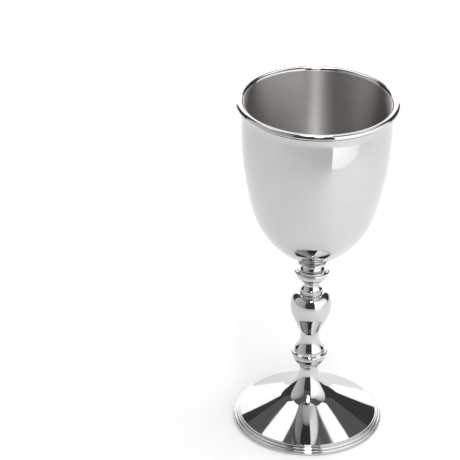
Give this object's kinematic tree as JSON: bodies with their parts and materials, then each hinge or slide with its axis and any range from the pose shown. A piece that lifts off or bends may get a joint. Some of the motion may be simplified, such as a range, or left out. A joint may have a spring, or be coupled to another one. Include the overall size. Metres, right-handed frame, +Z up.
{
  "type": "communion chalice",
  "caption": "Tall stemmed cup with a deep egg-shaped bowl, beaded rim, baluster stem and a trumpet-shaped foot with a reeded edge, for holding and sharing communion wine.",
  "frame": {"origin": "on the surface it stands on, at the middle of the foot", "axes": "+Z up along the stem and the bowl's axis; the chalice is round, so +X and +Y are interchangeable"},
  "size_m": [0.078, 0.078, 0.178],
  "materials": {
    "polished_plate": "polished",
    "satin_lining": "satin",
    "turned_brass": "satin",
    "zinc_steel": "satin"
  },
  "bodies": {
    "root": {"bowl": "polished_plate", "rim_wire": "polished_plate", "rim_band": "polished_plate", "bowl_ring": "polished_plate", "upper_collar": "polished_plate", "twin_bead": "polished_plate", "baluster_cap": "polished_plate", "baluster": "polished_plate", "lower_collar": "polished_plate", "lower_bead": "polished_plate", "foot": "polished_plate", "foot_wire": "polished_plate", "bowl_boss": "turned_brass", "foot_plug": "turned_brass", "tie_rod": "zinc_steel", "clamp_washer": "zinc_steel", "lock_washer": "zinc_steel", "nut": "zinc_steel"}
  },
  "joints": []
}
